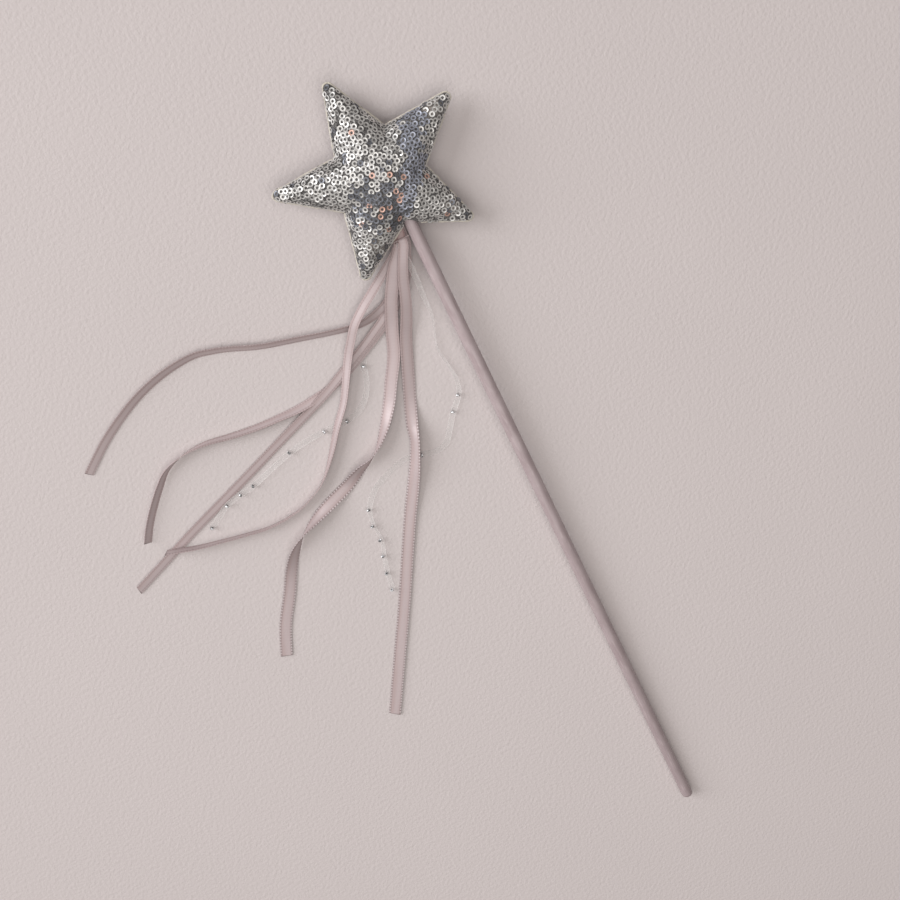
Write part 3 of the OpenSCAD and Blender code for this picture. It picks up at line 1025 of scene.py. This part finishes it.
@dataclass
class StarHead:
    """The stuffed star: its cover, seam and sequins."""

    centre: Vector = field(default_factory=lambda: Vector((0.00167759, 0.178646, SEAM_HEIGHT)))
    tip_radius: float = 50.0 * MM
    notch_radius: float = 23.2 * MM
    tip_round: float = 2.4 * MM
    front_rise: float = 11.7 * MM
    back_drop: float = 10.7 * MM
    turn: float = 3.5
    tip_shares: tuple[float, ...] = (0.95, 1.022, 1.011, 0.99, 0.99)
    tip_leans: tuple[float, ...] = (0.9, -0.2, -2.1, -0.5, 0.4)
    notch_shares: tuple[float, ...] = (0.94, 1.04, 1.11, 0.97, 0.97)
    notch_leans: tuple[float, ...] = (4, -1, -1, -1, -1)
    edge_steps: int = 12
    tip_steps: int = 8
    ring_steps: int = 20
    round_share: float = 1.12
    crown_power: float = 0.7
    big: float = 5.0
    voxel: float = 3.4 * MM
    pressure: float = 4.0
    cap: float = 0.6 * MM
    floor_gap: float = 0.45 * MM
    sequin_radius: float = 1.5 * MM
    hole_radius: float = 0.68 * MM
    sequin_wall: float = 0.08 * MM
    sequin_rim: float = 0.17 * MM
    spacing: float = 2.0 * MM
    warm_spot: Vector = field(default_factory=lambda: Vector((-5.0, -11.5)) * MM)
    warm_reach: float = 18.0 * MM
    # Line on the front where sequins get a painted shade, where the star's flank turns away from
    # the light
    shaded_line: tuple[tuple[float, float], ...] = (
        (26.0, 15.0), (20.0, 10.0), (18.5, -1.0), (10.0, -9.5), (3.0, -17.0),
    )
    shaded_reach: float = 5.0 * MM
    bare_spots: tuple[tuple[float, float], ...] = ((36.0, 17.0), (25.0, -28.5), (-17.0, -28.0))
    bare_reach: float = 8.0 * MM
    bare_loss: float = 0.85
    seam_hold: float = 2.0 * MM
    seam_radius: float = 0.48 * MM
    seam_proud: float = 0.3 * MM
    seam_opening: float = 3.6 * MM
    seam_clear: float = 1.0 * MM
    dowel_clear: tuple[float, float] = (4.4 * MM, 1.5 * MM)
    puff_frames: int = 20
    tries: int = 50000
    dish: float = 0.12 * MM
    # Share of the tint kept on a sequin's outer rim: a painted shade for the outlines between
    # sequins
    rim_painted_shade: float = 0.3
    loose_share: float = 0.07
    tilt: float = 5.0
    loose_tilt: float = 30.0
    lifts: tuple[float, float] = (0.1 * MM, 0.3 * MM)
    lowest: float = 0.02 * MM

    def outline(self) -> list[Vector]:
        """The seam line round the star, from the centre."""
        line: list[Vector] = []
        for i in range(5):
            toward = 90 + self.turn + 72 * i + self.tip_leans[i]
            hub = polar(self.tip_radius * self.tip_shares[i] - self.tip_round, toward)
            before, after = self._notch(i - 1), self._notch(i)
            first = self._touch(hub, before, -1, toward)
            last = self._touch(hub, after, 1, toward)
            tip = [
                hub + polar(self.tip_round, toward + first + (last - first) * s / self.tip_steps)
                for s in range(self.tip_steps + 1)
            ]
            line += [before.lerp(tip[0], s / self.edge_steps) for s in range(self.edge_steps)]
            line += tip
            line += [tip[-1].lerp(after, s / self.edge_steps) for s in range(1, self.edge_steps)]
        return line

    def _notch(self, i: int) -> Vector:
        """The notch after one arm."""
        return polar(
            self.notch_radius * self.notch_shares[i],
            90 + self.turn + 72 * (i % 5 + 0.5) + self.notch_leans[i],
        )

    def _touch(self, hub: Vector, notch: Vector, side: int, toward: float) -> float:
        """Angle from the arm's direction at which an edge touches the tip's circle."""
        way = hub - notch
        angle = math.degrees(math.atan2(way.y, way.x))
        angle += side * (math.degrees(math.asin(self.tip_round / way.length)) + 90)
        return (angle - toward + 900) % 360 - 180

    def build(self) -> None:
        """Makes the cover, the seam and the sequins of both faces."""
        cover = self._cover()
        self._seam()
        spots = self._spots(cover)
        for side in Side:
            front = side is Side.FRONT
            self._sequins(side, [s for s in spots if (s[0].z > SEAM_HEIGHT) == front])

    def _pillow(self) -> bmesh.types.BMesh:
        """The star as a plain crowned pillow about its centre."""
        line = self.outline()
        soft = self.notch_radius * self.round_share
        bm = bmesh.new()
        spoke = bm.verts.layers.int.new("spoke")
        rim = bmesh.ops.create_circle(bm, segments=len(line), radius=self.tip_radius)["verts"]
        for i, vert in enumerate(rim):
            vert[spoke] = i
            vert.co = line[i].to_3d()
        seam = bm.edges[:]
        for side, depth in ((1, self.front_rise), (-1, self.back_drop)):
            edges = seam
            for j in range(1, self.ring_steps):
                share = math.cos(math.pi / 2 * j / self.ring_steps)
                made = bmesh.ops.extrude_edge_only(bm, edges=edges)["geom"]
                edges = [e for e in made if isinstance(e, bmesh.types.BMEdge) and e.is_boundary]
                for vert in {v for e in edges for v in e.verts}:
                    point = line[vert[spoke]]
                    reach = share * (soft + (point.length - soft) * share)
                    height = depth * (1 - share * share) ** self.crown_power
                    vert.co = (point.normalized() * reach).to_3d() + Vector((0, 0, side * height))
            bmesh.ops.contextual_create(bm, geom=edges)
        bmesh.ops.recalc_face_normals(bm, faces=bm.faces[:])
        return bm

    def _cover(self) -> bpy.types.Object:
        """The cloth cover, puffed by a cloth simulation."""
        bm = self._pillow()
        bmesh.ops.scale(bm, vec=(self.big,) * 3, verts=bm.verts[:])
        draft = finished(bm, "cover_draft", NET)
        remesh = draft.modifiers.new("even", "REMESH")
        remesh.mode = "VOXEL"
        remesh.voxel_size = self.voxel
        depsgraph = bpy.context.evaluated_depsgraph_get()
        even = bpy.data.meshes.new_from_object(draft.evaluated_get(depsgraph))
        bpy.data.objects.remove(draft)
        cover = bpy.data.objects.new("star_cover", even)
        bpy.context.scene.collection.objects.link(cover)
        self._puff(cover)
        for vert in cover.data.vertices:
            spot = vert.co / self.big + self.centre
            spot.z = max(spot.z, self.floor_gap)
            vert.co = spot
        for face in cover.data.polygons:
            face.use_smooth = True
        bare = cover.data.attributes.new("bare", "FLOAT", "POINT")
        shares = [self._bare(v.co - self.centre) for v in cover.data.vertices]
        bare.data.foreach_set("value", shares)
        cover.data.materials.clear()
        cover.data.materials.append(NET.material())
        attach(cover, Body.WAND.value)
        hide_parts("front_cloth", "back_cloth", "front_lining", "back_lining", "stuffing")
        LOG.info("star_cover: %d faces", len(cover.data.polygons))
        return cover

    def _bare(self, spot: Vector) -> float:
        """How far the net lies bare at a place from the star's centre, from 0 to 1."""
        near = min((spot.to_2d() - Vector(bare) * MM).length for bare in self.bare_spots)
        share = max(0.0, 1.0 - near / self.bare_reach)
        return share * share * (3 - 2 * share)

    def _puff(self, cover: bpy.types.Object) -> None:
        """Puffs the cover as cloth under pressure, with its seam held."""
        start = [v.co.copy() for v in cover.data.vertices]
        line = [p.to_3d() * self.big for p in self.outline()]
        tree = KDTree(len(line))
        for i, point in enumerate(line):
            tree.insert(point, i)
        tree.balance()
        held = cover.vertex_groups.new(name="seam")
        near = self.seam_hold * self.big
        held.add([i for i, p in enumerate(start) if tree.find(p)[2] < near], 1.0, "REPLACE")
        cloth = cover.modifiers.new("puff", "CLOTH")
        cloth.settings.quality = 6
        cloth.settings.vertex_group_mass = "seam"
        cloth.settings.use_pressure = True
        cloth.settings.uniform_pressure_force = self.pressure
        cloth.settings.shrink_min = -0.05
        cloth.settings.effector_weights.gravity = 0.0
        cloth.collision_settings.use_collision = False
        scene = bpy.context.scene
        for step in range(1, self.puff_frames + 1):
            scene.frame_set(step)
        shaped = cover.evaluated_get(bpy.context.evaluated_depsgraph_get()).data
        moved = [v.co.copy() for v in shaped.vertices]
        cover.modifiers.remove(cloth)
        cover.vertex_groups.clear()
        scene.frame_set(1)
        limit = self.cap * self.big
        for vert, old, new in zip(cover.data.vertices, start, moved):
            shift = new - old
            if shift.length > limit:
                shift = shift.normalized() * limit
            vert.co = old + shift

    def _seam(self) -> None:
        """A thin corded seam round the star, open where the dowel enters."""
        line = self.outline()
        dowel = Vector((DOWEL_SHIFT, NECK.y - self.centre.y))
        near = min(range(len(line)), key=lambda i: (line[i] - dowel).length)
        line = line[near:] + line[:near]
        upper = -self.notch_radius * 0.8
        kept = [p for p in line if abs(p.x - dowel.x) > self.seam_opening or p.y > upper]
        proud = [p + p.normalized() * self.seam_proud + self.centre.to_2d() for p in kept]
        points = [Vector((*p, SEAM_HEIGHT, 0.0)) for p in proud]
        draw = random.Random(SEED + 7)
        bumps = [draw.uniform(0.55, 1.25) for _ in points]
        cord = tube(rings_along(points, 2, bumps), self.seam_radius, 8)
        piece = finished(cord, "star_seam", RIM)
        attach(piece, Body.WAND.value)
        LOG.info("star_seam: %d rings", len(points))

    def _spots(self, cover: bpy.types.Object) -> list[tuple[Vector, Vector]]:
        """Places for sequins, scattered over the cover at no less than the spacing.

        Args:
            cover: The finished cover.

        Returns:
            Place and outward direction of each sequin.
        """
        draw = random.Random(SEED)
        mesh = cover.data
        mesh.calc_loop_triangles()
        triangles = list(mesh.loop_triangles)
        total = [0.0]
        for triangle in triangles:
            total.append(total[-1] + triangle.area)
        picked = draw.choices(triangles, cum_weights=total[1:], k=self.tries)
        cells: dict[tuple[int, int, int], list[Vector]] = {}
        spots: list[tuple[Vector, Vector]] = []
        for triangle in picked:
            a, b = sorted((draw.random(), draw.random()))
            shares = (a, b - a, 1 - b)
            corners = [mesh.vertices[i] for i in triangle.vertices]
            place = sum((v.co * s for v, s in zip(corners, shares)), Vector())
            out = sum((v.normal * s for v, s in zip(corners, shares)), Vector()).normalized()
            key = tuple(int(c // self.spacing) for c in place)
            close = (
                other
                for x in (-1, 0, 1) for y in (-1, 0, 1) for z in (-1, 0, 1)
                for other in cells.get((key[0] + x, key[1] + y, key[2] + z), ())
            )
            if any((place - other).length < self.spacing for other in close):
                continue
            if self._on_dowel(place) or abs(place.z - SEAM_HEIGHT) < self.seam_clear:
                continue
            if draw.random() < self.bare_loss * self._bare(place - self.centre):
                continue
            cells.setdefault(key, []).append(place)
            spots.append((place, out))
        return spots

    def _on_dowel(self, place: Vector) -> bool:
        """Whether a place is in the dowel's way at the notch."""
        beside, above = self.dowel_clear
        return abs(place.x - NECK.x - DOWEL_SHIFT) < beside and place.y < NECK.y + above

    def _sequin(self) -> bmesh.types.BMesh:
        """One flat sequin with a round hole and a rolled rim, spun from its slim section."""
        bm = bmesh.new()
        corners = [
            bm.verts.new(p)
            for p in (
                (self.hole_radius, 0, 0),
                (self.sequin_radius, 0, self.dish * 0.6),
                (self.sequin_radius, 0, self.dish * 0.6 + self.sequin_wall),
                (self.sequin_radius - self.sequin_rim, 0, self.dish + self.sequin_wall),
                (self.hole_radius, 0, self.sequin_wall),
            )
        ]
        for i, corner in enumerate(corners):
            bm.edges.new((corner, corners[(i + 1) % len(corners)]))
        bmesh.ops.spin(
            bm, geom=bm.verts[:] + bm.edges[:], axis=(0, 0, 1), cent=(0, 0, 0),
            angle=2 * math.pi, steps=12, use_merge=True,
        )
        bmesh.ops.remove_doubles(bm, verts=bm.verts[:], dist=0.002 * MM)
        bmesh.ops.recalc_face_normals(bm, faces=bm.faces[:])
        return bm

    def _sequins(self, side: Side, spots: Sequence[tuple[Vector, Vector]]) -> None:
        """All sequins of one face as one piece."""
        draw = random.Random(SEED + side.value)
        pattern = self._sequin()
        rim = self.sequin_radius - self.sequin_rim / 2
        # Points on each sequin's outer rim take a darker tint: a painted shade for the thin dark
        # outlines and contact shadows where sequins overlap.
        painted_rim_shares = [self.rim_painted_shade if v.co.to_2d().length > rim else 1.0 for v in pattern.verts]
        whole = bmesh.new()
        tints: list[float] = []
        for place, out in spots:
            tilt = self.loose_tilt if draw.random() < self.loose_share else self.tilt
            lean = Matrix.Rotation(math.radians(draw.gauss(0, tilt)), 4, "X")
            lean = Matrix.Rotation(draw.uniform(0, 2 * math.pi), 4, "Z") @ lean
            face = out.to_track_quat("Z", "Y").to_matrix().to_4x4()
            lift = draw.uniform(*self.lifts)
            one = pattern.copy()
            bmesh.ops.transform(
                one, matrix=Matrix.Translation(place + out * lift) @ face @ lean, verts=one.verts[:]
            )
            for vert in one.verts:
                vert.co.z = max(vert.co.z, self.lowest)
            add_to(whole, one)
            tint = self._tint(draw, place - self.centre)
            for shade in painted_rim_shares:
                tints += [*(part * shade for part in tint), 1.0]
        pattern.free()
        piece = finished(whole, f"sequins_{side.name.lower()}", SEQUIN, smooth=False)
        kept = piece.data.attributes.new("tint", "FLOAT_COLOR", "POINT")
        kept.data.foreach_set("color", tints)
        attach(piece, Body.WAND.value)
        LOG.info("%s: %d sequins", piece.name, len(spots))

    def _tint(self, draw: random.Random, spot: Vector) -> Colour:
        """The colour of one sequin: silver, with duller and warmer ones in some places, and a
        painted shade, a dimmer bluish tint, in a band where the star's flank turns away from the
        light.

        Args:
            draw: Source of chance.
            spot: The sequin's place from the star's centre.

        Returns:
            The sequin's colour.
        """
        bright = draw.uniform(0.54, 0.76)
        flat = spot.to_2d()
        warm = max(0.0, 1.0 - (flat - self.warm_spot).length / self.warm_reach)
        line = [Vector(p) * MM for p in self.shaded_line]
        band = min(self._off_line(flat, a, b) for a, b in zip(line, line[1:]))
        pick = draw.random()
        if pick < 0.01 + 0.18 * warm:
            return scaled(WARM_TINT, bright)
        if pick < 0.07 + 1.1 * warm:
            return scaled(DARK_TINT, bright)
        # Near that line a sequin gets a painted shade: a dimmer, bluish tint.
        if band < draw.gauss(self.shaded_reach, 1.2 * MM):
            return scaled(SHADED_TINT, bright)
        return scaled(SILVER_TINT, bright)

    def _off_line(self, spot: Vector, a: Vector, b: Vector) -> float:
        """Distance of a flat place from the stretch between two points."""
        near, share = intersect_point_line(spot, a, b)
        return (spot - (a if share < 0 else b if share > 1 else near.to_2d())).length


# Dowel and neck


@dataclass
class Neck:
    """The dowel's paint, the thread bar and the sewn ends beside the dowel."""

    bar_from: float = -8.3 * MM
    bar_to: float = 0.0 * MM
    bar_y: float = -6.5 * MM
    ply_radius: float = 0.15 * MM
    twist_pitch: float = 1.4 * MM
    bar_steps: int = 60

    def build(self, loose: Sequence[Strip]) -> None:
        """Paints the dowel and the glue, and makes the thread bar and the sewn ends.

        Args:
            loose: Strips that hang from the bar without being led up into the notch.
        """
        for node, finish in (("stick", PAINT), ("glue_collar", GLUE)):
            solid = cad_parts[node]
            solid.data.materials.clear()
            solid.data.materials.append(finish.material())
            LOG.info("%s: dressed", node)
        self._bar()
        self._ends(loose)

    def _bar(self) -> None:
        """Two plies of thread twisted round each other across the notch."""
        whole = bmesh.new()
        length = self.bar_to - self.bar_from
        for ply in (0.0, math.pi):
            points = []
            for i in range(self.bar_steps + 1):
                share = i / self.bar_steps
                turn = 2 * math.pi * share * length / self.twist_pitch + ply
                points.append(Vector((
                    NECK.x + self.bar_from + length * share,
                    NECK.y + self.bar_y + self.ply_radius * math.cos(turn),
                    SEAM_HEIGHT + self.ply_radius * math.sin(turn),
                    0.0,
                )))
            add_to(whole, tube(rings_along(points, 1), self.ply_radius, 8))
        piece = finished(whole, "thread_bar", THREAD)
        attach(piece, Body.WAND.value)
        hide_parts("neck_thread")
        LOG.info("thread_bar: two plies")

    def _ends(self, loose: Sequence[Strip]) -> None:
        """The sewn ends of the strips that hang free, as one bunch in the notch, in satin darkened
        by a painted shade.
        """
        whole = bmesh.new()
        for strip in loose:
            bar = lifted(strip.route[:1], strip.width, strip.cad_thickness)[0]
            points = root_lead(bar) + [bar, bar - Vector((0.0, 0.6 * MM, 0.0, 0.0))]
            end = Strip(
                strip.name + "_end", strip.node, Body.WAND, strip.route, strip.width * 0.98,
                strip.finish, strip.slot, thickness=strip.thickness,
            )
            scales = [strip.gather * share for share in (*ROOT_SCALES, 1.0, 1.0)]
            end.rings = rings_along(points, 4, scales)
            add_to(whole, end.sheet())
        piece = finished(whole, "sewn_ends", SHADED_GATHERED_SATIN)
        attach(piece, Body.WAND.value)
        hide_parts("ribbon_roots")
        LOG.info("sewn_ends: %d ends", len(loose))


def main() -> None:
    """Builds the scene piece by piece."""
    logging.basicConfig(level=logging.INFO, format="%(message)s")
    Studio().build()
    wide, narrow, sheer = 6.5 * MM, 4.5 * MM, 3.0 * MM
    ribbons = [
        Strip("satin_long", "long_ribbon", Body.LONG, LONG_ROUTE, wide, WIDE_SATIN, Slot.SATIN,
              crown=0.1 * MM, slant=0.5 * MM, gather=0.74,
              gather_length=60 * MM),
        Strip("satin_twist", "twist_ribbon", Body.TWIST, TWIST_ROUTE, wide, WIDE_SATIN, Slot.SATIN,
              crown=0.1 * MM, slant=-0.4 * MM, gather=0.7,
              gather_length=24 * MM),
        Strip("satin_cross", "cross_ribbon", Body.STREAMERS, CROSS_ROUTE, narrow, NARROW_SATIN,
              Slot.SATIN, crown=0.06 * MM, slant=0.6 * MM, sewn=True),
        Strip("satin_arch", "arch_ribbon", Body.STREAMERS, ARCH_ROUTE, narrow, NARROW_SATIN,
              Slot.SATIN, crown=0.06 * MM, slant=-0.3 * MM, sewn=True, gather=1.0),
        Strip("satin_straight", "straight_ribbon", Body.STREAMERS, STRAIGHT_ROUTE, narrow,
              NARROW_SATIN, Slot.SATIN, crown=0.06 * MM, slant=0.9 * MM, sewn=True, gather=0.9),
        Strip("satin_curl", "curl_ribbon", Body.STREAMERS, CURL_ROUTE, narrow, NARROW_SATIN,
              Slot.SATIN, crown=0.06 * MM, slant=0.3 * MM, sewn=True),
    ]
    left = Strip("organza_left", "left_strand", Body.STREAMERS, LEFT_ROUTE, sheer, ORGANZA,
                 Slot.ORGANZA, cad_thickness=0.3 * MM, thickness=0.12 * MM, sewn=True)
    right = Strip("organza_right", "right_strand", Body.LONG, RIGHT_ROUTE, sheer, ORGANZA,
                  Slot.ORGANZA, cad_thickness=0.3 * MM, thickness=0.12 * MM)
    for strip in ribbons:
        strip.declare(strip.build())
    for strip, name, node, stops in (
        (left, "beads_left", "left_beads", LEFT_BEADS),
        (right, "beads_right", "right_beads", RIGHT_BEADS),
    ):
        piece = strip.build()
        strip.declare(piece, [BeadRow(name, node, strip, stops).build()])
    Neck().build([ribbons[0], ribbons[1], right])
    StarHead().build()


if __name__ == "__main__":
    main()
